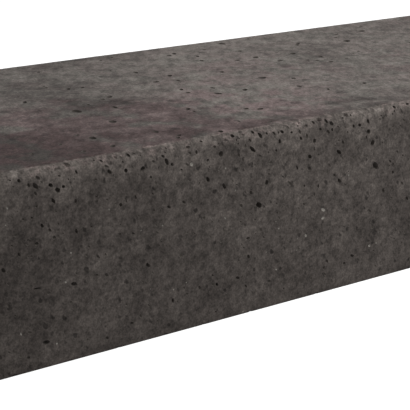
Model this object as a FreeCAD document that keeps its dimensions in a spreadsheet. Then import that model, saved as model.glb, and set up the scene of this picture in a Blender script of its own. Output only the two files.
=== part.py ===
"""Concrete step block: one solid casting with rounded arrises.

Frame: +X along the step, +Y from the riser face to the back face, +Z up.
Origin: the centre of the bed face, which is the face that the block stands on.
"""

import FreeCAD, Part

import os

import Sketcher

# The driving dimensions, in millimetres: alias, value, meaning.
SIZES = (
    ("length", 1000.0, "end face to end face, along the step"),
    ("depth", 350.0, "riser face to back face"),
    ("height", 150.0, "bed face to tread face"),
    ("arris_radius", 8.0, "rounding of the tread's four arrises and of the upright corners"),
    ("foot_radius", 2.0, "blunt edge all round the bed face"),
)

# The way Sketcher numbers things: a line's end points, and the sketch's own origin.
LINE_START = 1
LINE_END = 2
SKETCH_ORIGIN = (-1, 1)

SAME_LEVEL = 1e-6  # two heights closer than this are the same, in millimetres


def make_size_sheet(doc):
    """Put every driving dimension in a spreadsheet cell that carries its alias."""
    sheet = doc.addObject("Spreadsheet::Sheet", "sizes")
    for row, (alias, value, meaning) in enumerate(SIZES, start=1):
        sheet.set(f"A{row}", meaning)
        sheet.set(f"B{row}", str(value))
        sheet.setAlias(f"B{row}", alias)
    doc.recompute()
    return sheet


def draw_plan_outline(body, sheet):
    """Sketch the block's plan on the bed plane: a rectangle centred on the origin."""
    sketch = body.newObject("Sketcher::SketchObject", "plan_outline")
    bed_plane = next(p for p in body.Origin.OriginFeatures if p.Role == "XY_Plane")
    sketch.AttachmentSupport = [(bed_plane, "")]
    sketch.MapMode = "FlatFace"

    half_length = sheet.length / 2
    half_depth = sheet.depth / 2
    corners = [
        FreeCAD.Vector(x * half_length, y * half_depth, 0)
        for x, y in ((-1, -1), (1, -1), (1, 1), (-1, 1))
    ]
    riser, right_end, back, left_end = (
        sketch.addGeometry(Part.LineSegment(start, end))
        for start, end in zip(corners, corners[1:] + corners[:1])
    )
    for side, next_side in ((riser, right_end), (right_end, back), (back, left_end), (left_end, riser)):
        sketch.addConstraint(Sketcher.Constraint("Coincident", side, LINE_END, next_side, LINE_START))
    for side in (riser, back):
        sketch.addConstraint(Sketcher.Constraint("Horizontal", side))
    for side in (right_end, left_end):
        sketch.addConstraint(Sketcher.Constraint("Vertical", side))
    sketch.addConstraint(
        Sketcher.Constraint("Symmetric", riser, LINE_START, back, LINE_START, *SKETCH_ORIGIN)
    )
    for direction, side, alias in (("DistanceX", riser, "length"), ("DistanceY", right_end, "depth")):
        number = sketch.addConstraint(
            Sketcher.Constraint(direction, side, LINE_START, side, LINE_END, sheet.get(alias))
        )
        sketch.setExpression(f"Constraints[{number}]", f"sizes.{alias}")
    return sketch


def names_of_edges(shape, wanted):
    """Give the names, such as Edge3, of the shape's edges for which wanted(edge) is true."""
    return [f"Edge{n}" for n, edge in enumerate(shape.Edges, start=1) if wanted(edge)]


def lies_at(edge, level):
    """Tell whether the whole edge is at that height."""
    return all(abs(vertex.Z - level) < SAME_LEVEL for vertex in edge.Vertexes)


def add_fillet(body, name, base, edge_names, radius_alias):
    """Round the named edges of a feature to the radius in that cell of the sheet."""
    fillet = body.newObject("PartDesign::Fillet", name)
    fillet.Base = (base, edge_names)
    fillet.setExpression("Radius", f"sizes.{radius_alias}")
    return fillet


def make_step_block(doc, sheet):
    """Cast the block: its plan padded to height, then its arrises and its foot rounded."""
    body = doc.addObject("PartDesign::Body", "step_block")
    body.Label = "step_block"

    casting = body.newObject("PartDesign::Pad", "casting")
    casting.Profile = draw_plan_outline(body, sheet)
    casting.setExpression("Length", "sizes.height")
    doc.recompute()

    # Every edge but those of the bed face: the tread's four and the four uprights.
    arrises = names_of_edges(casting.Shape, lambda edge: not lies_at(edge, 0.0))
    rounded = add_fillet(body, "rounded_arrises", casting, arrises, "arris_radius")
    doc.recompute()

    bed_edges = names_of_edges(rounded.Shape, lambda edge: lies_at(edge, 0.0))
    add_fillet(body, "blunt_foot", rounded, bed_edges, "foot_radius")
    doc.recompute()
    return body


def check(doc, bodies):
    """Stop if any object failed to compute, or if a body is not one valid solid."""
    for item in doc.Objects:
        if "Invalid" in item.State or "Error" in item.State:
            raise RuntimeError(f"{item.Name} failed: {item.State}")
    for body in bodies:
        if body.Shape.isNull() or not body.Shape.isValid() or len(body.Shape.Solids) != 1:
            raise RuntimeError(f"{body.Label} is not one valid solid")


def export(bodies):
    """Write each body to parts/LABEL.step."""
    os.makedirs("parts", exist_ok=True)
    for body in bodies:
        body.Shape.exportStep(f"parts/{body.Label}.step")
        box = body.Shape.optimalBoundingBox()
        print(
            f"{body.Label}: {box.XLength:.1f} x {box.YLength:.1f} x {box.ZLength:.1f} mm,"
            f" {body.Shape.Volume / 1e9:.5f} m3"
        )


def main():
    """Build the document, check it and write its STEP files."""
    doc = FreeCAD.newDocument("concrete_step_block")
    bodies = [make_step_block(doc, make_size_sheet(doc))]
    check(doc, bodies)
    export(bodies)


main()
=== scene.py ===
"""Concrete step block: the finish of one solid casting.

Frame, in metres: +X along the step, +Y from the riser face to the back face, +Z up. The block stands on
its bed face, whose centre is the origin.
"""
import logging
import math
import random
from collections.abc import Iterator
from dataclasses import dataclass, field
from enum import Enum

import bmesh
import bpy
from mathutils import Matrix, Vector, noise


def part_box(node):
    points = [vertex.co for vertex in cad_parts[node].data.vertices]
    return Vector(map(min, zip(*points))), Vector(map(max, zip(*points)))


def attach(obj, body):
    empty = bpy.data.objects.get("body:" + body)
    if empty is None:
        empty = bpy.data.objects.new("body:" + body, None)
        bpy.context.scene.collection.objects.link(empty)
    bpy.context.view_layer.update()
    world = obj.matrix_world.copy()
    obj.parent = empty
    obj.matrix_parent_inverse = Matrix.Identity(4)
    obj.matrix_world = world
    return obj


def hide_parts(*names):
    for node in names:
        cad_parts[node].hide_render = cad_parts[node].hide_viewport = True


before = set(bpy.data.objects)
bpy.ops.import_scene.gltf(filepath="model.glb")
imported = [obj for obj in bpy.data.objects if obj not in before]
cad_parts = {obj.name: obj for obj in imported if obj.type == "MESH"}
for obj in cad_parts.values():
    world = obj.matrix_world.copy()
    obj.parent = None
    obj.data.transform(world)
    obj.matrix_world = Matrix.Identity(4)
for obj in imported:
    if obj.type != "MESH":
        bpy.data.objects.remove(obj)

MM = 0.001
CAD_NODE = "step_block"

log = logging.getLogger("step_block")


# ---------------------------------------------------------------------------------------------------------
# Colours and shader nodes
# ---------------------------------------------------------------------------------------------------------


def linear(hex_colour: str) -> tuple[float, float, float, float]:
    """Turns an sRGB hex colour to linear light.

    Args:
        hex_colour: six hex digits after a hash.

    Returns:
        Red, green, blue and an alpha of 1.
    """
    channels = []
    for encoded in bytes.fromhex(hex_colour[1:]):
        value = encoded / 255
        channels.append(value / 12.92 if value <= 0.04045 else ((value + 0.055) / 1.055) ** 2.4)
    return (*channels, 1.0)


def per_metre(size_mm: float) -> float:
    """Returns the scale of a pattern whose features are this many millimetres apart."""
    return 1 / (size_mm * MM)


def add_node(tree: bpy.types.NodeTree, kind: str, settings: dict | None = None,
             sockets: dict | None = None) -> bpy.types.Node:
    """Adds one shader node.

    Args:
        tree: the node tree that it joins.
        kind: the node's type.
        settings: its properties, by name.
        sockets: a value or another node's output for each input, by name or number.

    Returns:
        The new node.
    """
    node = tree.nodes.new(kind)
    for name, value in (settings or {}).items():
        setattr(node, name, value)
    for name, value in (sockets or {}).items():
        if isinstance(value, bpy.types.NodeSocket):
            tree.links.new(value, node.inputs[name])
        else:
            node.inputs[name].default_value = value
    return node


# ---------------------------------------------------------------------------------------------------------
# Faces of the block
# ---------------------------------------------------------------------------------------------------------


class Side(Enum):
    """A face of the block: its outward way and its upward way."""

    RISER = ((0, -1, 0), (0, 0, 1))
    BACK = ((0, 1, 0), (0, 0, 1))
    LEFT_END = ((-1, 0, 0), (0, 0, 1))
    RIGHT_END = ((1, 0, 0), (0, 0, 1))
    TREAD = ((0, 0, 1), (0, 1, 0))
    BED = ((0, 0, -1), (0, 1, 0))

    @property
    def outward(self) -> Vector:
        """The way that the face looks."""
        return Vector(self.value[0])

    @property
    def upward(self) -> Vector:
        """The way up the face."""
        return Vector(self.value[1])

    @property
    def rightward(self) -> Vector:
        """The way to the right, for someone who looks at the face."""
        return self.upward.cross(self.outward)


@dataclass(frozen=True)
class RoundedBlock:
    """The block's outer skin: a box whose tread arrises and upright corners are rounded."""

    low: Vector
    high: Vector
    radius: float

    @property
    def centre(self) -> Vector:
        """The middle of the box."""
        return (self.low + self.high) / 2

    @property
    def size(self) -> Vector:
        """Length, depth and height."""
        return self.high - self.low

    def extent(self, side: Side) -> tuple[float, float]:
        """Returns the width and the height of a face."""
        return abs(self.size.dot(side.rightward)), abs(self.size.dot(side.upward))

    def depth(self, side: Side, point: Vector) -> float:
        """Returns how far below a face's plane a point lies."""
        return abs(self.size.dot(side.outward)) / 2 - (point - self.centre).dot(side.outward)

    def skin(self, side: Side, across: float, up: float) -> tuple[Vector, Vector]:
        """Finds a point of the skin from its place on a face.

        Args:
            side: the face.
            across: how far right of the face's middle the place is.
            up: how far above the face's lower edge the place is.

        Returns:
            The point on the rounded skin, and the way out of the block there.
        """
        width, height = self.extent(side)
        reach = abs(self.size.dot(side.outward)) / 2
        flat = self.centre + side.outward * reach + side.rightward * across
        flat += side.upward * (up - height / 2)
        core = flat.copy()
        for axis in range(3):
            lowest = self.low[axis] + (self.radius if axis < 2 else 0)
            core[axis] = min(max(core[axis], lowest), self.high[axis] - self.radius)
        outward = (flat - core).normalized()
        return core + outward * self.radius, outward


# ---------------------------------------------------------------------------------------------------------
# Air holes and chips
# ---------------------------------------------------------------------------------------------------------


class Surface(Enum):
    """What shows on a surface, by its material slot."""

    SKIN = 0
    # Air holes, coloured with painted shade.
    LINING = 1
    GRIT = 2
    CHIP = 3


@dataclass(frozen=True)
class Hollow:
    """One air hole, nick or chip, as the lump that is cut out of the skin."""

    place: Vector
    outward: Vector
    long_way: Vector
    length: float
    width: float
    depth: float
    surface: Surface

    @property
    def reach(self) -> float:
        """How far from its place the hollow spreads."""
        return max(self.length, self.width) / 2


@dataclass(frozen=True)
class HoleSort:
    """One sort of air hole: how many there are, and their sizes in millimetres.

    The share that is kept falls off by e over each fade below the upper edge, down to the least share.
    Slimness is width over length, deepness is depth over width, and the slant is in degrees.
    """

    per_square_metre: float
    middle_length: float
    spread: float
    longest: float
    slimness: tuple[float, float]
    deepness: tuple[float, float]
    fade: float
    least_share: float
    slant: float = 128.0
    surface: Surface = Surface.LINING


@dataclass(frozen=True)
class Landmark:
    """A hole in its own place: millimetres from the left end and from the face's lower edge, and degrees."""

    along: float
    up: float
    length: float
    width: float
    slant: float


PINHOLES = HoleSort(per_square_metre=8500, middle_length=2.5, spread=0.20, longest=3.8,
                    slimness=(0.5, 0.9), deepness=(0.2, 0.5), fade=40, least_share=0.45)
BLOWHOLES = HoleSort(per_square_metre=3200, middle_length=3.9, spread=0.28, longest=7.5,
                     slimness=(0.38, 0.65), deepness=(0.25, 0.8), fade=38, least_share=0.10)
ARRIS_PITS = HoleSort(per_square_metre=42000, middle_length=2.9, spread=0.30, longest=5.0,
                      slimness=(0.5, 0.9), deepness=(0.35, 0.9), fade=8, least_share=0.0)
TREAD_PORES = HoleSort(per_square_metre=480, middle_length=6.6, spread=0.28, longest=11.0,
                       slimness=(0.4, 0.7), deepness=(0.25, 0.5), fade=1000, least_share=1.0, slant=52.0)
BARE_GRIT = HoleSort(per_square_metre=700, middle_length=2.3, spread=0.25, longest=3.6,
                     slimness=(0.5, 0.9), deepness=(0.12, 0.2), fade=1000, least_share=1.0,
                     surface=Surface.GRIT)


@dataclass
class AirHoles:
    """The open holes that trapped air leaves in a cast face. They crowd under the tread."""

    block: RoundedBlock
    seed: int = 7
    slant_spread: float = 20.0
    clear_foot: float = 5 * MM
    spacing: float = 0.35 * MM
    search_cell: float = 8 * MM
    clump_size_mm: float = 35
    clump_share: tuple[float, float] = (0.6, 1.4)
    taken: dict = field(default_factory=dict)

    def __post_init__(self) -> None:
        """Starts the seeded draws."""
        self.draw = random.Random(self.seed)

    def has_room(self, hollow: Hollow) -> bool:
        """Says whether a hollow keeps clear of all others, and if so remembers it.

        Args:
            hollow: the hollow.

        Returns:
            True if it may be cut.
        """
        cell = tuple(math.floor(c / self.search_cell) for c in hollow.place)
        near = [(cell[0] + i, cell[1] + j, cell[2] + k)
                for i in (-1, 0, 1) for j in (-1, 0, 1) for k in (-1, 0, 1)]
        for key in near:
            for other in self.taken.get(key, ()):
                gap = (other.place - hollow.place).length - other.reach - hollow.reach
                if gap < self.spacing:
                    return False
        self.taken.setdefault(cell, []).append(hollow)
        return True

    def hollow_at(self, side: Side, across: float, up: float, size: tuple[float, float, float],
                  slant: float, surface: Surface) -> Hollow:
        """Describes one hollow by its place on a face.

        Args:
            side: the face.
            across: how far right of the face's middle it is.
            up: how far above the face's lower edge it is.
            size: its length, width and depth.
            slant: degrees from the rightward way to its long way.
            surface: what shows inside.

        Returns:
            The hollow.
        """
        place, outward = self.block.skin(side, across, up)
        turned = Matrix.Rotation(math.radians(slant), 3, side.outward) @ side.rightward
        long_way = (turned - outward * turned.dot(outward)).normalized()
        return Hollow(place, outward, long_way, *size, surface)

    def landmarks(self, side: Side, marks: tuple[Landmark, ...], deepness: tuple[float, float],
                  surface: Surface) -> Iterator[Hollow]:
        """Yields the hollows that have their own place on a face.

        Args:
            side: the face.
            marks: the hollows' places and sizes.
            deepness: the least and most that a hollow's depth is, as a share of its width.
            surface: what shows inside.

        Yields:
            Hollows that touch no other hollow.
        """
        for mark in marks:
            across = mark.along * MM - self.block.size.x / 2
            depth = mark.width * self.draw.uniform(*deepness)
            size = (mark.length * MM, mark.width * MM, depth * MM)
            hollow = self.hollow_at(side, across, mark.up * MM, size, mark.slant, surface)
            if self.has_room(hollow):
                yield hollow

    def scatter(self, side: Side, sort: HoleSort) -> Iterator[Hollow]:
        """Yields one sort's holes on a face.

        Args:
            side: the face.
            sort: the sort of hole.

        Yields:
            Holes that touch no other hole.
        """
        width, height = self.block.extent(side)
        least, most = self.clump_share
        for _ in range(round(sort.per_square_metre * width * height)):
            across = self.draw.uniform(-0.5, 0.5) * width
            up = self.draw.uniform(0, height)
            length = min(sort.middle_length * math.exp(self.draw.gauss(0, sort.spread)), sort.longest) * MM
            slim = self.draw.uniform(*sort.slimness)
            deep = self.draw.uniform(*sort.deepness)
            slant = self.draw.gauss(sort.slant, self.slant_spread)
            share = sort.least_share + (1 - sort.least_share) * math.exp((up - height) / (sort.fade * MM))
            where = Vector((across, up, side.value[0][1]))
            clump = 0.5 + noise.noise(where * per_metre(self.clump_size_mm))
            if self.draw.random() > share * (least + (most - least) * clump) or up < self.clear_foot:
                continue
            size = (length, length * slim, length * slim * deep)
            hollow = self.hollow_at(side, across, up, size, slant, sort.surface)
            if self.has_room(hollow):
                yield hollow


@dataclass
class ArrisChips:
    """Shallow chips knocked off the arrises in handling. Their lengths are in millimetres.

    They lie between two distances below the tread, as shares of the arris's radius.
    """

    block: RoundedBlock
    per_metre_run: float = 90
    seed: int = 23
    length: tuple[float, float] = (2.0, 6.5)
    slimness: tuple[float, float] = (0.4, 0.9)
    bite: tuple[float, float] = (0.3, 0.6)
    below: tuple[float, float] = (-0.2, 0.75)
    slant: tuple[float, float] = (-25, 25)

    def along(self, side: Side, holes: AirHoles) -> Iterator[Hollow]:
        """Yields the chips along the upper arris of an upright face.

        Args:
            side: the face.
            holes: the air holes, which the chips keep clear of.

        Yields:
            Chips that touch no other hollow.
        """
        draw = random.Random(f"{self.seed}{side.name}")
        width, height = self.block.extent(side)
        for _ in range(round(self.per_metre_run * width)):
            across = draw.uniform(-0.5, 0.5) * width
            up = height - draw.uniform(*self.below) * self.block.radius
            length = draw.uniform(*self.length) * MM
            slim = draw.uniform(*self.slimness)
            bite = draw.uniform(*self.bite)
            slant = draw.uniform(*self.slant)
            size = (length, length * slim, length * slim * bite)
            hollow = holes.hollow_at(side, across, min(up, height), size, slant, Surface.CHIP)
            if holes.has_room(hollow):
                yield hollow


# ---------------------------------------------------------------------------------------------------------
# Finishes
# ---------------------------------------------------------------------------------------------------------


def depth_below_skin(tree: bpy.types.NodeTree, place: bpy.types.NodeSocket,
                     block: RoundedBlock) -> bpy.types.NodeSocket:
    """Measures how far below the block's rounded skin a point lies.

    Args:
        tree: the node tree.
        place: the point.
        block: the block.

    Returns:
        The depth in metres, right down to the rounding's own radius.
    """
    half = block.size / 2
    distance = add_node(tree, "ShaderNodeVectorMath", {"operation": "ABSOLUTE"}, {0: place})
    beyond = add_node(tree, "ShaderNodeVectorMath", {"operation": "SUBTRACT"},
                      {0: distance.outputs[0], 1: (half.x - block.radius, half.y - block.radius,
                                                   block.high.z - block.radius)})
    beyond = add_node(tree, "ShaderNodeVectorMath", {"operation": "MAXIMUM"},
                      {0: beyond.outputs[0], 1: (0.0, 0.0, 0.0)})
    reach = add_node(tree, "ShaderNodeVectorMath", {"operation": "LENGTH"}, {0: beyond.outputs[0]})
    return add_node(tree, "ShaderNodeMath", {"operation": "SUBTRACT"},
                    {0: block.radius, 1: reach.outputs["Value"]}).outputs[0]


@dataclass(frozen=True)
class Stain:
    """A soft cloud on a face, in millimetres from the left end and from the face's lower edge.

    It reaches so far along and up the face. Its strength is above 0 where it darkens.
    """

    along: float
    up: float
    reach: tuple[float, float]
    strength: float


@dataclass(frozen=True)
class CastConcrete:
    """Anthracite precast concrete, wet cast in a steel mould: matt, cloudy paste with fine sand in it."""

    name: str = "anthracite_cast_concrete"
    paste_dark: str = "#403B38"
    paste_light: str = "#58524E"
    tread_dark: str = "#3F3B38"
    tread_light: str = "#706B66"
    bloom_dark: str = "#443837"
    bloom_light: str = "#726563"
    # Pale tones of the rubbed arrises, which also paint the highlight line along the tread's arrises.
    worn_and_highlit_arris: str = "#87807A"
    worn_and_highlit_mauve: str = "#7C706C"
    riser_stains: tuple[Stain, ...] = (
        Stain(120, 75, (80, 50), 0.5),
        Stain(118, 128, (40, 40), -0.5),
        Stain(300, 150, (900, 28), -1.1),
        Stain(400, 100, (150, 60), -0.35),
        Stain(150, 70, (60, 30), 0.3),
        Stain(135, 18, (45, 30), 0.35),
        Stain(252, 85, (40, 24), 0.45),
        Stain(292, 122, (34, 22), 0.4),
        Stain(332, 47, (40, 28), -0.55),
        Stain(450, 5, (90, 26), -0.5),
        Stain(640, 60, (110, 60), 0.5),
        Stain(820, 100, (130, 50), 0.4),
    )
    tread_stains: tuple[Stain, ...] = (
        Stain(150, 35, (150, 95), 1.35),
        Stain(290, 120, (120, 100), 0.5),
        Stain(310, 155, (80, 50), 0.45),
        Stain(342, 62, (50, 40), 0.5),
        Stain(290, 20, (50, 30), 0.4),
        Stain(290, 240, (90, 70), 0.5),
        Stain(395, 335, (130, 40), 0.45),
        Stain(400, 65, (50, 30), -0.35),
        Stain(240, 20, (40, 32), -0.45),
        Stain(430, 130, (85, 80), -0.6),
        Stain(450, 110, (60, 45), -0.7),
        Stain(510, 270, (110, 110), -0.35),
        Stain(590, 335, (90, 45), -0.4),
        Stain(380, 12, (240, 30), 0.7),
        Stain(505, 20, (80, 40), 0.35),
        Stain(610, 220, (60, 80), 0.3),
        Stain(745, 95, (130, 80), 0.8),
        Stain(860, 250, (120, 90), 0.55),
        Stain(960, 60, (70, 90), -0.4),
        Stain(90, 270, (90, 80), 0.6),
    )
    bloom_stains: tuple[Stain, ...] = (
        Stain(200, 70, (230, 150), 1.1),
        Stain(350, 60, (190, 110), 0.8),
        Stain(430, 120, (60, 120), 0.5),
        Stain(520, 190, (90, 90), 0.4),
        Stain(760, 110, (170, 110), 1.0),
        Stain(920, 290, (120, 80), 0.8),
        Stain(60, 290, (110, 90), 0.7),
    )

    def material(self, block: RoundedBlock) -> bpy.types.Material:
        """Builds the finish.

        Args:
            block: the block that it covers.

        Returns:
            The material.
        """
        material = bpy.data.materials.new(self.name)
        material.use_nodes = True
        tree = material.node_tree
        tree.nodes.clear()
        place = add_node(tree, "ShaderNodeTexCoord").outputs["Object"]
        nearness, upward = self._arris(tree, place, block)
        on_tread = add_node(tree, "ShaderNodeMapRange", {"interpolation_type": "SMOOTHSTEP"},
                            {"Value": upward, "From Min": 3 * MM, "From Max": 7 * MM}).outputs["Result"]
        moulded = self._moulded_tone(tree, place, block)
        tread = self._tread_tone(tree, place, block)
        tone = add_node(tree, "ShaderNodeMix", {"data_type": "RGBA"},
                        {"Factor": on_tread, "A": moulded, "B": tread}).outputs["Result"]
        # Rubbed arrises, and a painted highlight line along the tread's arrises.
        tone = self._worn_and_highlit(tree, place, tone, nearness, upward)
        mottle = self._mottle(tree, place, on_tread)
        # Painted shade of air holes too small to cut; the same flecks set dents in the bump.
        flecks = self._painted_pore_shade(tree, place, on_tread)
        grain = add_node(tree, "ShaderNodeTexNoise", None,
                         {"Vector": place, "Scale": per_metre(1.6), "Detail": 2.0,
                          "Roughness": 0.6}).outputs["Fac"]
        grain_gain = add_node(tree, "ShaderNodeMapRange", {"clamp": False},
                              {"Value": grain, "From Min": 0.3, "From Max": 0.7,
                               "To Min": 0.70, "To Max": 1.30})
        gain = add_node(tree, "ShaderNodeMath", {"operation": "MULTIPLY"},
                        {0: mottle, 1: grain_gain.outputs["Result"]})
        gain = add_node(tree, "ShaderNodeMath", {"operation": "MULTIPLY"},
                        {0: gain.outputs[0], 1: flecks})
        colour = add_node(tree, "ShaderNodeVectorMath", {"operation": "SCALE"},
                          {0: tone, "Scale": gain.outputs[0]})
        rough = add_node(tree, "ShaderNodeMapRange", None,
                         {"Value": grain, "To Min": 0.98, "To Max": 0.84}).outputs["Result"]
        relief = self._relief(tree, place, flecks, grain, nearness)
        shader = add_node(tree, "ShaderNodeBsdfPrincipled", None,
                          {"Base Color": colour.outputs[0], "Roughness": rough, "IOR": 1.5,
                           "Specular IOR Level": 0.14, "Normal": relief})
        add_node(tree, "ShaderNodeOutputMaterial", None, {"Surface": shader.outputs["BSDF"]})
        return material

    def _stained(self, tree: bpy.types.NodeTree, place: bpy.types.NodeSocket, block: RoundedBlock,
                 side: Side, stains: tuple[Stain, ...], darkness: bpy.types.NodeSocket
                 ) -> bpy.types.NodeSocket:
        """Adds a face's stains, with wandering edges, to its darkness."""
        wander = add_node(tree, "ShaderNodeTexNoise", None,
                          {"Vector": place, "Scale": per_metre(45), "Detail": 2.5})
        centred = add_node(tree, "ShaderNodeVectorMath", {"operation": "SUBTRACT"},
                           {0: wander.outputs["Color"], 1: (0.5, 0.5, 0.5)})
        shifted = add_node(tree, "ShaderNodeVectorMath", {"operation": "MULTIPLY_ADD"},
                           {0: centred.outputs[0], 1: (0.11, 0.11, 0.11), 2: place})
        width, height = block.extent(side)
        for stain in stains:
            middle = block.skin(side, stain.along * MM - width / 2, stain.up * MM)[0]
            reach = side.rightward * (stain.reach[0] * MM) + side.upward * (stain.reach[1] * MM)
            reach += side.outward * max(width, height)
            at = add_node(tree, "ShaderNodeMapping", {"vector_type": "TEXTURE"},
                          {"Vector": shifted.outputs[0], "Location": middle,
                           "Scale": tuple(abs(part) for part in reach)})
            spot = add_node(tree, "ShaderNodeTexGradient", {"gradient_type": "SPHERICAL"},
                            {"Vector": at.outputs[0]})
            darkness = add_node(tree, "ShaderNodeMath", {"operation": "MULTIPLY_ADD"},
                                {0: spot.outputs["Fac"], 1: stain.strength, 2: darkness}).outputs[0]
        return darkness

    def _moulded_tone(self, tree: bpy.types.NodeTree, place: bpy.types.NodeSocket,
                      block: RoundedBlock) -> bpy.types.NodeSocket:
        """Clouds 26 mm across and faint upright runs, as the paste settles against the mould."""
        clouds = add_node(tree, "ShaderNodeTexNoise", None,
                          {"Vector": place, "Scale": per_metre(26), "Detail": 5.0, "Roughness": 0.6})
        stretched = add_node(tree, "ShaderNodeMapping", None,
                             {"Vector": place, "Scale": (1.0, 1.0, 0.12)})
        runs = add_node(tree, "ShaderNodeTexNoise", None,
                        {"Vector": stretched.outputs[0], "Scale": per_metre(9), "Detail": 3.0})
        both = add_node(tree, "ShaderNodeMix", {"data_type": "FLOAT"},
                        {"Factor": 0.12, "A": clouds.outputs["Fac"], "B": runs.outputs["Fac"]})
        darkness = add_node(tree, "ShaderNodeMapRange", None,
                            {"Value": both.outputs["Result"], "From Min": 0.31, "From Max": 0.69,
                             "To Min": 1.0, "To Max": 0.0}).outputs["Result"]
        darkness = self._stained(tree, place, block, Side.RISER, self.riser_stains, darkness)
        darkness = add_node(tree, "ShaderNodeMath", {"operation": "MINIMUM"}, {0: darkness, 1: 1.0})
        return add_node(tree, "ShaderNodeMix", {"data_type": "RGBA", "clamp_factor": False},
                        {"Factor": darkness.outputs[0], "A": linear(self.paste_light),
                         "B": linear(self.paste_dark)}).outputs["Result"]

    def _tread_tone(self, tree: bpy.types.NodeTree, place: bpy.types.NodeSocket,
                    block: RoundedBlock) -> bpy.types.NodeSocket:
        """Pale cement skin, with darker clouds where it stayed damp and a mauve bloom of the pigment."""
        clouds = add_node(tree, "ShaderNodeTexNoise", None,
                          {"Vector": place, "Scale": per_metre(24), "Detail": 5.0, "Roughness": 0.72})
        darkness = add_node(tree, "ShaderNodeMapRange", {"clamp": False},
                            {"Value": clouds.outputs["Fac"], "From Min": 0.30, "From Max": 0.70,
                             "To Min": 0.70, "To Max": -0.3}).outputs["Result"]
        darkness = self._stained(tree, place, block, Side.TREAD, self.tread_stains, darkness)
        grey = add_node(tree, "ShaderNodeMix", {"data_type": "RGBA"},
                        {"Factor": darkness, "A": linear(self.tread_light),
                         "B": linear(self.tread_dark)}).outputs["Result"]
        mauve = add_node(tree, "ShaderNodeMix", {"data_type": "RGBA"},
                         {"Factor": darkness, "A": linear(self.bloom_light),
                          "B": linear(self.bloom_dark)}).outputs["Result"]
        faint = add_node(tree, "ShaderNodeValue")
        faint.outputs[0].default_value = 0.2
        bloom = self._stained(tree, place, block, Side.TREAD, self.bloom_stains, faint.outputs[0])
        share = add_node(tree, "ShaderNodeMath", {"operation": "MULTIPLY"},
                         {0: bloom, 1: self._patches(tree, place)})
        return add_node(tree, "ShaderNodeMix", {"data_type": "RGBA"},
                        {"Factor": share.outputs[0], "A": grey, "B": mauve}).outputs["Result"]

    def _patches(self, tree: bpy.types.NodeTree, place: bpy.types.NodeSocket) -> bpy.types.NodeSocket:
        """Patches 34 mm across in which the pigment blooms: 0 outside them and above 1 in their middle."""
        patches = add_node(tree, "ShaderNodeTexNoise", None,
                           {"Vector": place, "Scale": per_metre(34), "Detail": 3.0, "Roughness": 0.65})
        return add_node(tree, "ShaderNodeMapRange", None,
                        {"Value": patches.outputs["Fac"], "From Min": 0.40, "From Max": 0.58,
                         "To Min": 0.0, "To Max": 1.5}).outputs["Result"]

    def _arris(self, tree: bpy.types.NodeTree, place: bpy.types.NodeSocket,
               block: RoundedBlock) -> tuple[bpy.types.NodeSocket, bpy.types.NodeSocket]:
        """Measures where a point lies by the arrises.

        Args:
            tree: the node tree.
            place: the point.
            block: the block.

        Returns:
            Nearness to an arris, 1 on it and 0 from 11 mm away, and how far the point is on the
            tread's side of its arris, in metres.
        """
        half = block.size / 2
        distance = add_node(tree, "ShaderNodeVectorMath", {"operation": "ABSOLUTE"}, {0: place})
        inset = add_node(tree, "ShaderNodeVectorMath", {"operation": "SUBTRACT"},
                         {0: (half.x, half.y, block.high.z), 1: distance.outputs[0]})
        parts = add_node(tree, "ShaderNodeSeparateXYZ", None, {0: inset.outputs[0]})
        x, y, z = (parts.outputs[axis] for axis in "XYZ")
        low_xy = add_node(tree, "ShaderNodeMath", {"operation": "MINIMUM"}, {0: x, 1: y}).outputs[0]
        high_xy = add_node(tree, "ShaderNodeMath", {"operation": "MAXIMUM"}, {0: x, 1: y}).outputs[0]
        upper = add_node(tree, "ShaderNodeMath", {"operation": "MAXIMUM"}, {0: low_xy, 1: z}).outputs[0]
        middle = add_node(tree, "ShaderNodeMath", {"operation": "MINIMUM"},
                          {0: upper, 1: high_xy}).outputs[0]
        nearness = add_node(tree, "ShaderNodeMapRange", {"interpolation_type": "SMOOTHSTEP"},
                            {"Value": middle, "From Min": 2 * MM, "From Max": 11 * MM,
                             "To Min": 1.0, "To Max": 0.0}).outputs["Result"]
        upward = add_node(tree, "ShaderNodeMath", {"operation": "SUBTRACT"}, {0: low_xy, 1: z}).outputs[0]
        return nearness, upward

    def _worn_and_highlit(self, tree: bpy.types.NodeTree, place: bpy.types.NodeSocket, tone: bpy.types.NodeSocket,
              nearness: bpy.types.NodeSocket, upward: bpy.types.NodeSocket) -> bpy.types.NodeSocket:
        """Rubbed, paler concrete on the arrises in broken flecks, and a painted highlight: a thin pale line
        on the tread's side of each tread arris, where the rounding faces up.
        """
        flecks = add_node(tree, "ShaderNodeTexNoise", None,
                          {"Vector": place, "Scale": per_metre(5.5), "Detail": 2.0, "Roughness": 0.5})
        broken = add_node(tree, "ShaderNodeMapRange", None,
                          {"Value": flecks.outputs["Fac"], "From Min": 0.48, "From Max": 0.64,
                           "To Min": 0.0, "To Max": 0.65})
        share = add_node(tree, "ShaderNodeMath", {"operation": "MULTIPLY"},
                         {0: nearness, 1: broken.outputs["Result"]})
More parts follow.
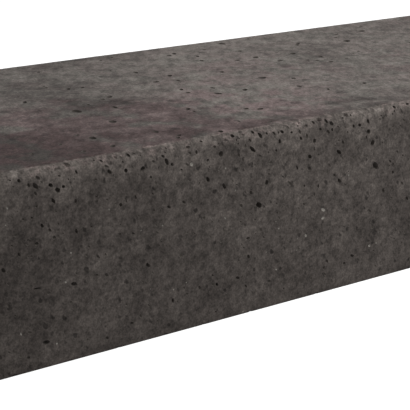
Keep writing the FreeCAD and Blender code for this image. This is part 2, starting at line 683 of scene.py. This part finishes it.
        # Painted highlight: a thin broken pale line on the tread's side of the rounding.
        aside = add_node(tree, "ShaderNodeMath", {"operation": "SUBTRACT"}, {0: upward, 1: 4.5 * MM})
        aside = add_node(tree, "ShaderNodeMath", {"operation": "ABSOLUTE"}, {0: aside.outputs[0]})
        line = add_node(tree, "ShaderNodeMapRange", {"interpolation_type": "SMOOTHSTEP"},
                        {"Value": aside.outputs[0], "From Min": 0.4 * MM, "From Max": 1.9 * MM,
                         "To Min": 1.0, "To Max": 0.0})
        runs = add_node(tree, "ShaderNodeTexNoise", None,
                        {"Vector": place, "Scale": per_metre(22), "Detail": 5.0, "Roughness": 0.75})
        rubbed = add_node(tree, "ShaderNodeMapRange", None,
                          {"Value": runs.outputs["Fac"], "From Min": 0.46, "From Max": 0.60,
                           "To Min": 0.0, "To Max": 0.9})
        rim = add_node(tree, "ShaderNodeMath", {"operation": "MULTIPLY"},
                       {0: line.outputs["Result"], 1: rubbed.outputs["Result"]})
        most = add_node(tree, "ShaderNodeMath", {"operation": "MAXIMUM"},
                        {0: share.outputs[0], 1: rim.outputs[0]})
        rubbed_and_highlit_tone = add_node(tree, "ShaderNodeMix", {"data_type": "RGBA"},
                               {"Factor": self._patches(tree, place), "A": linear(self.worn_and_highlit_arris),
                                "B": linear(self.worn_and_highlit_mauve)})
        return add_node(tree, "ShaderNodeMix", {"data_type": "RGBA"},
                        {"Factor": most.outputs[0], "A": tone,
                         "B": rubbed_and_highlit_tone.outputs["Result"]}).outputs["Result"]

    def _mottle(self, tree: bpy.types.NodeTree, place: bpy.types.NodeSocket,
                on_tread: bpy.types.NodeSocket) -> bpy.types.NodeSocket:
        """Mottling: 6 mm on the moulded faces, 8.5 mm and drawn out by the trowel on the tread."""
        moulded = self._spots(tree, place, 6, 2.3, 0.72)
        trowelled = add_node(tree, "ShaderNodeMapping", {"vector_type": "TEXTURE"},
                             {"Vector": place, "Rotation": (0.0, 0.0, math.radians(52)),
                              "Scale": (1.9, 1.0, 1.0)})
        tread = self._spots(tree, trowelled.outputs[0], 8.5, 2.2, 0.82)
        return add_node(tree, "ShaderNodeMix", {"data_type": "FLOAT"},
                        {"Factor": on_tread, "A": moulded, "B": tread}).outputs["Result"]

    def _spots(self, tree: bpy.types.NodeTree, place: bpy.types.NodeSocket, size: float,
               strength: float, fineness: float) -> bpy.types.NodeSocket:
        """Cloudy spots about 1, of a size in millimetres, a strength and a share of fine detail."""
        spots = add_node(tree, "ShaderNodeTexNoise", None,
                         {"Vector": place, "Scale": per_metre(size), "Detail": 3.0, "Roughness": fineness})
        centred = add_node(tree, "ShaderNodeMath", {"operation": "SUBTRACT"},
                           {0: spots.outputs["Fac"], 1: 0.5})
        return add_node(tree, "ShaderNodeMath", {"operation": "MULTIPLY_ADD"},
                        {0: centred.outputs[0], 1: strength, 2: 1.0}).outputs[0]

    def _painted_pore_shade(self, tree: bpy.types.NodeTree, place: bpy.types.NodeSocket,
                on_tread: bpy.types.NodeSocket) -> bpy.types.NodeSocket:
        """Painted shade of air holes too small to cut: dark flecks 2 to 4 mm long that slant as the open
        ones do.

        Args:
            tree: the node tree.
            place: the point.
            on_tread: 1 on the tread, where the flecks are round and further apart.

        Returns:
            What the colour is multiplied by.
        """
        wander = add_node(tree, "ShaderNodeTexNoise", None,
                          {"Vector": place, "Scale": per_metre(3), "Detail": 1.0})
        centred = add_node(tree, "ShaderNodeVectorMath", {"operation": "SUBTRACT"},
                           {0: wander.outputs["Color"], 1: (0.5, 0.5, 0.5)})
        shifted = add_node(tree, "ShaderNodeVectorMath", {"operation": "MULTIPLY_ADD"},
                           {0: centred.outputs[0], 1: (3 * MM, 3 * MM, 3 * MM), 2: place})
        slanted = add_node(tree, "ShaderNodeMapping", {"vector_type": "TEXTURE"},
                           {"Vector": shifted.outputs[0],
                            "Rotation": (0.0, math.radians(52), math.radians(30)),
                            "Scale": (1.7, 1.0, 1.0)})
        dots = self._dots(tree, slanted.outputs[0], 4.7)
        sparse = self._dots(tree, shifted.outputs[0], 15)
        faint = add_node(tree, "ShaderNodeMapRange", None,
                         {"Value": sparse, "To Min": 0.3, "To Max": 1.0}).outputs["Result"]
        return add_node(tree, "ShaderNodeMix", {"data_type": "FLOAT"},
                        {"Factor": on_tread, "A": dots, "B": faint}).outputs["Result"]

    def _dots(self, tree: bpy.types.NodeTree, place: bpy.types.NodeSocket,
              spacing: float) -> bpy.types.NodeSocket:
        """Dots of random size and darkness, this many millimetres apart."""
        cells = add_node(tree, "ShaderNodeTexVoronoi", None,
                         {"Vector": place, "Scale": per_metre(spacing)})
        chance = add_node(tree, "ShaderNodeSeparateColor", None, {0: cells.outputs["Color"]})
        radius = add_node(tree, "ShaderNodeMapRange", {"clamp": False},
                          {"Value": chance.outputs[0], "To Min": -0.15, "To Max": 0.38})
        inside = add_node(tree, "ShaderNodeMath", {"operation": "SUBTRACT"},
                          {0: radius.outputs["Result"], 1: cells.outputs["Distance"]})
        depth = add_node(tree, "ShaderNodeMapRange", None,
                         {"Value": chance.outputs[1], "To Min": 0.85, "To Max": 0.35})
        return add_node(tree, "ShaderNodeMapRange", {"interpolation_type": "SMOOTHSTEP"},
                        {"Value": inside.outputs[0], "From Min": -0.10, "From Max": 0.12,
                         "To Min": 1.0, "To Max": depth.outputs["Result"]}).outputs["Result"]

    def _relief(self, tree: bpy.types.NodeTree, place: bpy.types.NodeSocket, flecks: bpy.types.NodeSocket,
                grain: bpy.types.NodeSocket, nearness: bpy.types.NodeSocket) -> bpy.types.NodeSocket:
        """Bump of the flecks and the sand, and crumbs 4 mm across where the arris is worn."""
        crumbs = add_node(tree, "ShaderNodeTexNoise", None,
                          {"Vector": place, "Scale": per_metre(4), "Detail": 2.0, "Roughness": 0.6})
        rough = add_node(tree, "ShaderNodeBump", None,
                         {"Strength": nearness, "Distance": 1.6 * MM, "Height": crumbs.outputs["Fac"]})
        dents = add_node(tree, "ShaderNodeBump", None,
                         {"Strength": 0.6, "Distance": 0.5 * MM, "Height": flecks,
                          "Normal": rough.outputs["Normal"]})
        sand = add_node(tree, "ShaderNodeBump", None,
                        {"Strength": 0.45, "Distance": 0.5 * MM, "Height": grain,
                         "Normal": dents.outputs["Normal"]})
        return sand.outputs["Normal"]


@dataclass(frozen=True)
class SpeckledFinish:
    """A plain finish of two tones in small speckles."""

    name: str
    dark: str
    pale: str
    rim: str
    rim_depth: float
    speckle: float
    roughness: float

    def material(self, block: RoundedBlock) -> bpy.types.Material:
        """Builds the finish.

        Args:
            block: the block whose hollows it covers.

        Returns:
            The material.
        """
        material = bpy.data.materials.new(self.name)
        material.use_nodes = True
        tree = material.node_tree
        tree.nodes.clear()
        place = add_node(tree, "ShaderNodeTexCoord").outputs["Object"]
        spots = add_node(tree, "ShaderNodeTexNoise", None,
                         {"Vector": place, "Scale": per_metre(self.speckle), "Detail": 2.0})
        tone = add_node(tree, "ShaderNodeMix", {"data_type": "RGBA"},
                        {"Factor": spots.outputs["Fac"], "A": linear(self.dark), "B": linear(self.pale)})
        # Turns from the rim's tone at the skin to the speckles below it; in the air holes this is painted
        # shade that deepens inward.
        inward = add_node(tree, "ShaderNodeMapRange", {"interpolation_type": "SMOOTHSTEP"},
                          {"Value": depth_below_skin(tree, place, block), "From Min": 0.2 * MM,
                           "From Max": self.rim_depth * MM})
        tone = add_node(tree, "ShaderNodeMix", {"data_type": "RGBA"},
                        {"Factor": inward.outputs["Result"], "A": linear(self.rim),
                         "B": tone.outputs["Result"]})
        shader = add_node(tree, "ShaderNodeBsdfPrincipled", None,
                          {"Base Color": tone.outputs["Result"], "Roughness": self.roughness, "IOR": 1.5,
                           "Specular IOR Level": 0.2})
        add_node(tree, "ShaderNodeOutputMaterial", None, {"Surface": shader.outputs["BSDF"]})
        return material


@dataclass(frozen=True)
class AirHolePaintedShade(SpeckledFinish):
    """Painted shade inside an air hole: the same paste as the skin, coloured darker than it, and darker
    still below the rim.
    """

    name: str = "air_hole_paste"
    dark: str = "#322E2B"
    pale: str = "#47423E"
    # The tone at the skin, above the painted shade that deepens below it.
    rim: str = "#4E4944"
    rim_depth: float = 1.2
    speckle: float = 1.2
    roughness: float = 0.85


@dataclass(frozen=True)
class BareGrit(SpeckledFinish):
    """Crushed limestone sand that shows where the skin is nicked: pale and matt."""

    name: str = "bare_limestone_grit"
    dark: str = "#625E59"
    pale: str = "#A7A29A"
    rim: str = "#625E59"
    rim_depth: float = 0.3
    speckle: float = 2.0
    roughness: float = 0.8


# ---------------------------------------------------------------------------------------------------------
# The casting
# ---------------------------------------------------------------------------------------------------------


# Depth over width, least and most: open air holes, skin nicks that bare the grit, and nicks in the foot.
DEEP = (0.6, 1.0)
SHALLOW = (0.12, 0.2)
NICKED = (0.5, 0.8)

RISER_LANDMARKS = (
    Landmark(122, 81, 4.2, 2.8, 130),
    Landmark(135, 90, 4.0, 2.2, 110),
    Landmark(149, 62, 6.5, 1.8, 175),
    Landmark(150, 137, 6.2, 3.2, 130),
    Landmark(155, 20, 6.0, 3.2, 170),
    Landmark(180, 59, 5.2, 3.0, 160),
    Landmark(222, 111, 3.2, 2.5, 120),
    Landmark(227, 136, 3.5, 2.8, 120),
    Landmark(242, 135, 4.5, 3.2, 30),
    Landmark(246, 60, 5.0, 2.5, 130),
    Landmark(264, 137, 6.2, 2.8, 112),
    Landmark(269, 27, 3.8, 2.8, 100),
    Landmark(303, 117, 4.8, 3.0, 125),
    Landmark(312, 31, 3.2, 2.5, 120),
    Landmark(319, 109, 6.0, 2.8, 120),
    Landmark(333, 32, 4.0, 2.5, 150),
    Landmark(347, 134, 7.5, 2.8, 138),
    Landmark(354, 88, 6.0, 4.2, 150),
    Landmark(355, 144, 5.8, 2.8, 125),
    Landmark(362, 105, 4.2, 3.2, 90),
    Landmark(407, 119, 4.2, 3.0, 140),
    Landmark(430, 143, 5.2, 3.2, 135),
    Landmark(439, 118, 5.8, 3.0, 140),
    Landmark(457, 26, 4.5, 2.5, 150),
    Landmark(477, 120, 5.2, 4.2, 75),
    Landmark(481, 100, 7.5, 4.8, 125),
)

RISER_GRIT = (
    Landmark(127, 125, 2.5, 2.0, 120),
    Landmark(164, 17, 3.0, 2.2, 10),
    Landmark(178, 83, 3.0, 2.0, 150),
    Landmark(236, 3, 2.6, 1.6, 10),
    Landmark(247, 3.5, 2.4, 1.5, 160),
    Landmark(248, 41, 2.5, 1.5, 120),
    Landmark(282, 39, 2.5, 1.8, 30),
    Landmark(339, 2.0, 4.6, 3.8, 10),
    Landmark(366, 45, 2.2, 1.5, 120),
    Landmark(372, 71, 2.5, 1.8, 120),
    Landmark(373, 31, 3.2, 1.8, 150),
    Landmark(395, 43, 2.2, 1.5, 30),
    Landmark(423, 65, 3.8, 2.5, 20),
    Landmark(423, 72, 5.6, 2.8, 150),
    Landmark(477, 31, 3.2, 2.2, 170),
    Landmark(487, 28, 2.2, 1.5, 150),
    Landmark(487, 41, 2.2, 1.5, 20),
)

FOOT_NICKS = (
    Landmark(128, 0.8, 5.5, 3.2, 8),
    Landmark(176, 1.0, 4.2, 2.8, 170),
    Landmark(219, 0.6, 7.0, 3.4, 175),
    Landmark(262, 0.8, 4.6, 3.0, 10),
    Landmark(300, 0.6, 6.5, 3.2, 172),
    Landmark(348, 0.4, 5.2, 3.6, 5),
    Landmark(384, 0.6, 4.4, 2.8, 172),
    Landmark(418, 0.7, 6.0, 3.2, 6),
    Landmark(470, 0.5, 5.0, 3.0, 175),
)

TREAD_LANDMARKS = (
    Landmark(263, 197, 7.6, 3.6, 56),
    Landmark(323, 10, 6.0, 4.2, 60),
    Landmark(323, 222, 7.0, 4.0, 58),
    Landmark(336, 220, 6.0, 3.6, 44),
    Landmark(354, 91, 7.2, 4.2, 50),
    Landmark(399, 159, 6.6, 3.6, 55),
    Landmark(430, 217, 8.0, 4.2, 58),
    Landmark(442, 124, 9.0, 4.4, 50),
    Landmark(503, 307, 8.0, 4.2, 58),
    Landmark(512, 281, 6.6, 3.6, 50),
)


@dataclass
class StepCasting:
    """The block itself: a rounded box with worn arrises, an uneven skin and open air holes.

    The slow waves of the skin and the wear of the arrises are given as a size in millimetres and a depth.
    Each hollow's lump is swollen to make up for its lift above the skin, and the shares by which small
    and fine lumps are lopsided are given in that order.
    """

    low: Vector
    high: Vector
    arris_radius: float = 8 * MM
    foot_radius: float = 2 * MM
    arris_steps: int = 6
    foot_steps: int = 2
    cell: tuple[float, float, float] = (4 * MM, 12 * MM, 12 * MM)
    border: float = 1.2 * MM
    bed_gap: float = 0.05 * MM
    foot_reach: float = 0.1 * MM
    straight: float = 0.999
    slow_waves: tuple[float, float] = (70, 0.25 * MM)
    arris_wear: tuple[float, float] = (11, 1.1 * MM)
    smooth_below: float = 32.0
    lump_seed: int = 5
    lumps_at_once: int = 60
    lump_lift: float = 0.42
    lump_swell: float = 1.16
    fine_from: float = 3.0 * MM
    lopsided: tuple[float, float] = (0.16, 0.09)
    name: str = "cast_step"
    sheet_gap: float = 8 * MM
    map_name: str = "OFBake"

    def build(self) -> bpy.types.Object:
        """Casts the block, cuts its hollows and dresses it.

        Returns:
            The finished piece.
        """
        skin = RoundedBlock(self.low, self.high, self.arris_radius)
        concrete = CastConcrete().material(skin)
        # The air holes' finish is painted shade, darker than the skin.
        finishes = (concrete, AirHolePaintedShade().material(skin), BareGrit().material(skin), concrete)
        body = self._object(self.name, self._body(skin), finishes)
        cutter = self._object("hollows", self._cutter(skin), finishes)
        self._carve(body, cutter)
        body.data.shade_smooth()
        body.data.set_sharp_from_angle(angle=math.radians(self.smooth_below))
        self._crisp_rims(body.data)
        self._unfold(body.data, skin)
        return body

    def _unfold(self, mesh: bpy.types.Mesh, skin: RoundedBlock) -> None:
        """Lays the six sides out flat on one square sheet, as the piece's own map.

        Args:
            mesh: the finished mesh. Each of its faces goes with the side that it is nearest to.
            skin: the block's outer skin.
        """
        corners = {}
        level = self.sheet_gap
        for side in (Side.TREAD, Side.BED, Side.RISER, Side.BACK, Side.LEFT_END):
            corners[side] = Vector((self.sheet_gap, level))
            level += skin.extent(side)[1] + self.sheet_gap
        beside = skin.extent(Side.LEFT_END)[0] + self.sheet_gap
        corners[Side.RIGHT_END] = corners[Side.LEFT_END] + Vector((beside, 0))
        bm = bmesh.new()
        bm.from_mesh(mesh)
        layer = bm.loops.layers.uv.new(self.map_name)
        for face in bm.faces:
            middle = face.calc_center_median()
            side = min(corners, key=lambda each: skin.depth(each, middle))
            rightward, upward = side.rightward, side.upward
            corner = corners[side] + Vector(skin.extent(side)) / 2
            for loop in face.loops:
                offset = loop.vert.co - skin.centre
                place = corner + Vector((offset.dot(rightward), offset.dot(upward)))
                loop[layer].uv = place / level
        bm.to_mesh(mesh)
        bm.free()

    def _crisp_rims(self, mesh: bpy.types.Mesh) -> None:
        """Makes the rim of each hollow sharp, and gives the chips the skin's own slot.

        Args:
            mesh: the carved mesh.
        """
        bm = bmesh.new()
        bm.from_mesh(mesh)
        for edge in bm.edges:
            if len({face.material_index for face in edge.link_faces}) > 1:
                edge.smooth = False
        for face in bm.faces:
            if face.material_index == Surface.CHIP.value:
                face.material_index = Surface.SKIN.value
        bm.to_mesh(mesh)
        bm.free()
        mesh.materials.pop(index=Surface.CHIP.value)

    def _object(self, name: str, mesh: bpy.types.Mesh,
                finishes: tuple[bpy.types.Material, ...]) -> bpy.types.Object:
        """Puts a mesh in the scene.

        Args:
            name: the object's name.
            mesh: its mesh.
            finishes: the materials of its slots.

        Returns:
            The object.
        """
        made = bpy.data.objects.new(name, mesh)
        bpy.context.scene.collection.objects.link(made)
        for finish in finishes:
            mesh.materials.append(finish)
        return made

    def _body(self, skin: RoundedBlock) -> bpy.types.Mesh:
        """Makes the rounded box in a grid of cells, with its uneven skin.

        Args:
            skin: the block's outer skin.

        Returns:
            The mesh.
        """
        bm = bmesh.new()
        bmesh.ops.create_cube(bm, size=1.0)
        bmesh.ops.scale(bm, vec=skin.size, verts=bm.verts)
        bmesh.ops.translate(bm, vec=skin.centre, verts=bm.verts)
        arrises = [e for e in bm.edges if max(v.co.z for v in e.verts) > skin.centre.z]
        bmesh.ops.bevel(bm, geom=arrises, offset=self.arris_radius, segments=self.arris_steps,
                        profile=0.5, affect="EDGES", material=-1)
        floor_level = self.low.z + self.foot_reach
        foot = [e for e in bm.edges if all(v.co.z < floor_level for v in e.verts)]
        bmesh.ops.bevel(bm, geom=foot, offset=self.foot_radius, segments=self.foot_steps,
                        profile=0.5, affect="EDGES", material=-1)
        self._border_loops(bm)
        self._lay_grid(bm)
        self._uneven(bm)
        self._plain_bed(bm)
        bmesh.ops.recalc_face_normals(bm, faces=bm.faces)
        mesh = bpy.data.meshes.new(self.name)
        bm.to_mesh(mesh)
        bm.free()
        return mesh

    def _border_loops(self, bm: bmesh.types.BMesh) -> None:
        """Cuts a narrow border beside each arris, which keeps the flat faces flat up to it.

        Args:
            bm: the rounded box.
        """
        inset = self.arris_radius + self.border
        for axis in range(3):
            way = Vector((0, 0, 0))
            way[axis] = 1
            levels = [self.high[axis] - inset]
            if axis < 2:
                levels.append(self.low[axis] + inset)
            for level in levels:
                bmesh.ops.bisect_plane(bm, geom=bm.verts[:] + bm.edges[:] + bm.faces[:],
                                       plane_co=way * level, plane_no=way)

    def _lay_grid(self, bm: bmesh.types.BMesh) -> None:
        """Divides the long edges, so that the skin can be worked.

        Args:
            bm: the rounded box.
        """
        for axis in range(3):
            runs = []
            for edge in bm.edges:
                line = edge.verts[1].co - edge.verts[0].co
                if abs(line[axis]) > self.straight * line.length and line.length > 3 * self.cell[axis]:
                    runs.append(edge)
            cuts = round(max(e.calc_length() for e in runs) / self.cell[axis]) - 1
            bmesh.ops.subdivide_edges(bm, edges=runs, cuts=cuts, use_grid_fill=True)

    def _plain_bed(self, bm: bmesh.types.BMesh) -> None:
        """Makes the middle of the bed one plain face, since it lies on its ground unseen.

        Args:
            bm: the rounded box, with its uneven skin.
        """
        inset = self.foot_radius
        bed = []
        for face in bm.faces:
            spread = [max(abs(v.co[axis]) for v in face.verts) for axis in range(2)]
            level = max(v.co.z for v in face.verts)
            inside = spread[0] < self.high.x - inset and spread[1] < self.high.y - inset
            if level < self.bed_gap * 1.5 and inside:
                bed.append(face)
        bmesh.ops.dissolve_faces(bm, faces=bed)

    def _uneven(self, bm: bmesh.types.BMesh) -> None:
        """Moves the skin inwards by slow waves, and the arrises by a little more.

        Args:
            bm: the rounded box. Its bed moves evenly.
        """
        bm.normal_update()
        for vert in bm.verts:
            if vert.co.z < self.bed_gap:
                vert.co.z += self.bed_gap
                continue
            inset = sorted(min(abs(vert.co[a] - self.low[a]), abs(self.high[a] - vert.co[a]))
                           for a in range(3))
            nearness = max(0.0, 1 - inset[1] / self.arris_radius)
            slow = 0.5 + 0.5 * noise.noise(vert.co * per_metre(self.slow_waves[0]))
            quick = 0.5 + 0.5 * noise.noise(vert.co * per_metre(self.arris_wear[0]))
            vert.co -= vert.normal * (self.slow_waves[1] * slow + self.arris_wear[1] * nearness * quick)

    def _cutter(self, skin: RoundedBlock) -> bpy.types.Mesh:
        """Makes all the lumps that the hollows are cut with.

        Args:
            skin: the block's outer skin.

        Returns:
            One mesh of closed lumps.
        """
        holes = AirHoles(skin)
        chips = ArrisChips(skin)
        upright = (Side.RISER, Side.BACK, Side.LEFT_END, Side.RIGHT_END)
        lumps = list(holes.landmarks(Side.RISER, RISER_LANDMARKS, DEEP, Surface.LINING))
        lumps += holes.landmarks(Side.TREAD, TREAD_LANDMARKS, DEEP, Surface.LINING)
        lumps += holes.landmarks(Side.RISER, RISER_GRIT, SHALLOW, Surface.GRIT)
        lumps += holes.landmarks(Side.RISER, FOOT_NICKS, NICKED, Surface.CHIP)
        for side in upright:
            lumps += chips.along(side, holes)
        for side in upright:
            for sort in (BLOWHOLES, ARRIS_PITS, PINHOLES, BARE_GRIT):
                lumps += holes.scatter(side, sort)
        lumps += holes.scatter(Side.TREAD, TREAD_PORES)
        log.info("hollows: %d", len(lumps))
        draw = random.Random(self.lump_seed)
        joined = bmesh.new()
        for start in range(0, len(lumps), self.lumps_at_once):
            part = bmesh.new()
            for hollow in lumps[start:start + self.lumps_at_once]:
                self._lump(part, hollow, draw)
            carrier = bpy.data.meshes.new("batch")
            part.to_mesh(carrier)
            part.free()
            joined.from_mesh(carrier)
            bpy.data.meshes.remove(carrier)
        mesh = bpy.data.meshes.new("hollows")
        joined.to_mesh(mesh)
        joined.free()
        return mesh

    def _lump(self, bm: bmesh.types.BMesh, hollow: Hollow, draw: random.Random) -> None:
        """Adds one lump, a lopsided ball whose middle stands a little proud of the skin.

        Args:
            bm: the mesh that it joins.
            hollow: the hollow that it cuts.
            draw: the seeded draws.
        """
        radii = Vector((hollow.length / 2, hollow.width / 2, hollow.depth / (1 - self.lump_lift)))
        side_way = hollow.outward.cross(hollow.long_way)
        turn = Matrix((hollow.long_way, side_way, hollow.outward)).transposed().to_4x4()
        centre = hollow.place + hollow.outward * (radii.z * self.lump_lift)
        shape = Matrix.Translation(centre) @ turn @ Matrix.Diagonal((*radii, 1))
        fine = hollow.length > self.fine_from
        made = bmesh.ops.create_icosphere(bm, subdivisions=2 if fine else 1, radius=self.lump_swell,
                                          matrix=shape)
        uneven = self.lopsided[fine]
        for vert in made["verts"]:
            push = Vector((draw.uniform(-1, 1), draw.uniform(-1, 1), draw.uniform(-1, 1)))
            vert.co += (turn.to_3x3() @ Vector(p * r for p, r in zip(push, radii))) * uneven
        for face in {face for vert in made["verts"] for face in vert.link_faces}:
            face.material_index = hollow.surface.value

    def _carve(self, body: bpy.types.Object, cutter: bpy.types.Object) -> None:
        """Cuts the hollows out of the body.

        Args:
            body: the block.
            cutter: the lumps, which are used up.
        """
        cut = body.modifiers.new("hollows", "BOOLEAN")
        cut.operation = "DIFFERENCE"
        cut.solver = "MANIFOLD"
        cut.object = cutter
        depsgraph = bpy.context.evaluated_depsgraph_get()
        carved = bpy.data.meshes.new_from_object(body.evaluated_get(depsgraph))
        body.modifiers.clear()
        solid = body.data
        body.data = carved
        carved.name = self.name
        bpy.data.meshes.remove(solid)
        used = cutter.data
        bpy.data.objects.remove(cutter)
        bpy.data.meshes.remove(used)


# ---------------------------------------------------------------------------------------------------------
# The studio
# ---------------------------------------------------------------------------------------------------------


@dataclass
class Studio:
    """A pale floor, soft light and the camera. Its angles are in degrees and the rest is in metres."""

    aim: Vector
    camera_distance: float = 1139.4 * MM
    azimuth: float = -38.24
    elevation: float = 15.67
    lens_mm: float = 131.26
    sensor_mm: float = 36.0
    floor_size: float = 12.0
    sky: float = 0.40
    floor_glow: float = 0.8
    softbox_power: float = 20.0
    softbox_size: float = 1.2
    softbox_place: tuple[float, float, float] = (0.75, -0.85, 1.3)
    softbox_aim: tuple[float, float, float] = (0.1, 0.0, 0.1)

    def build(self) -> None:
        """Sets up everything around the object."""
        scene = bpy.context.scene
        scene.view_settings.view_transform = "Standard"
        self._camera(scene)
        self._floor(scene)
        self._sky(scene)
        self._softbox(scene)

    def _camera(self, scene: bpy.types.Scene) -> None:
        """Aims the camera at the riser.

        Args:
            scene: the scene.
        """
        turn, lift = math.radians(self.azimuth), math.radians(self.elevation)
        back = Vector((math.sin(turn) * math.cos(lift), -math.cos(turn) * math.cos(lift), math.sin(lift)))
        data = bpy.data.cameras.new("camera")
        data.sensor_width = self.sensor_mm
        data.lens = self.lens_mm
        camera = bpy.data.objects.new("camera", data)
        camera.location = self.aim + back * self.camera_distance
        camera.rotation_euler = (-back).to_track_quat("-Z", "Y").to_euler()
        scene.collection.objects.link(camera)
        scene.camera = camera

    def _floor(self, scene: bpy.types.Scene) -> None:
        """Lays the floor. The camera sees it as white, with the object's shadow on it.

        Args:
            scene: the scene.
        """
        bm = bmesh.new()
        bmesh.ops.create_grid(bm, x_segments=1, y_segments=1, size=self.floor_size / 2)
        mesh = bpy.data.meshes.new("floor")
        bm.to_mesh(mesh)
        bm.free()
        floor = bpy.data.objects.new("floor", mesh)
        scene.collection.objects.link(floor)
        material = bpy.data.materials.new("pale_floor")
        material.use_nodes = True
        tree = material.node_tree
        tree.nodes.clear()
        path = add_node(tree, "ShaderNodeLightPath")
        matt = add_node(tree, "ShaderNodeBsdfDiffuse", None, {"Color": linear("#CFCFCF")})
        glow = add_node(tree, "ShaderNodeEmission", None,
                        {"Color": linear("#FFFFFF"), "Strength": self.floor_glow})
        bright = add_node(tree, "ShaderNodeAddShader", None, {0: matt.outputs[0], 1: glow.outputs[0]})
        seen = add_node(tree, "ShaderNodeMath", {"operation": "MAXIMUM"},
                        {0: path.outputs["Is Camera Ray"], 1: path.outputs["Is Glossy Ray"]})
        seen = add_node(tree, "ShaderNodeMath", {"operation": "MAXIMUM"},
                        {0: seen.outputs[0], 1: path.outputs["Is Transmission Ray"]})
        both = add_node(tree, "ShaderNodeMixShader", None,
                        {0: seen.outputs[0], 1: matt.outputs[0], 2: bright.outputs[0]})
        add_node(tree, "ShaderNodeOutputMaterial", None, {"Surface": both.outputs[0]})
        mesh.materials.append(material)

    def _sky(self, scene: bpy.types.Scene) -> None:
        """Soft light from all round, and a white backdrop.

        Args:
            scene: the scene.
        """
        world = bpy.data.worlds.new("studio")
        world.use_nodes = True
        tree = world.node_tree
        tree.nodes.clear()
        path = add_node(tree, "ShaderNodeLightPath")
        seen = add_node(tree, "ShaderNodeMath", {"operation": "MAXIMUM"},
                        {0: path.outputs["Is Camera Ray"], 1: path.outputs["Is Glossy Ray"]})
        seen = add_node(tree, "ShaderNodeMath", {"operation": "MAXIMUM"},
                        {0: seen.outputs[0], 1: path.outputs["Is Transmission Ray"]})
        level = add_node(tree, "ShaderNodeMix", {"data_type": "FLOAT"},
                         {"Factor": seen.outputs[0], "A": self.sky, "B": 1.0})
        light = add_node(tree, "ShaderNodeBackground", None,
                         {"Color": linear("#FFFFFF"), "Strength": level.outputs["Result"]})
        add_node(tree, "ShaderNodeOutputWorld", None, {"Surface": light.outputs[0]})
        scene.world = world

    def _softbox(self, scene: bpy.types.Scene) -> None:
        """Hangs one large softbox above the right-hand front of the block.

        Args:
            scene: the scene.
        """
        data = bpy.data.lights.new("softbox", "AREA")
        data.shape = "RECTANGLE"
        data.size = self.softbox_size
        data.size_y = self.softbox_size
        data.energy = self.softbox_power
        lamp = bpy.data.objects.new("softbox", data)
        lamp.location = self.softbox_place
        aim = Vector(self.softbox_aim) - lamp.location
        lamp.rotation_euler = aim.to_track_quat("-Z", "Y").to_euler()
        scene.collection.objects.link(lamp)


LOOK_AT = Vector((300 * MM, 0, 97.4 * MM))


def triangles(piece: bpy.types.Object) -> int:
    """Returns how many triangles a piece's mesh comes to."""
    piece.data.calc_loop_triangles()
    return len(piece.data.loop_triangles)


def main() -> None:
    """Builds the studio and the casting."""
    logging.basicConfig(level=logging.INFO, format="%(message)s")
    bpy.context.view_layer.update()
    low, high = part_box(CAD_NODE)
    Studio(aim=low + LOOK_AT).build()
    casting = StepCasting(low, high).build()
    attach(casting, "root")
    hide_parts(CAD_NODE)
    log.info("%s: %d triangles", casting.name, triangles(casting))


if __name__ == "__main__":
    main()
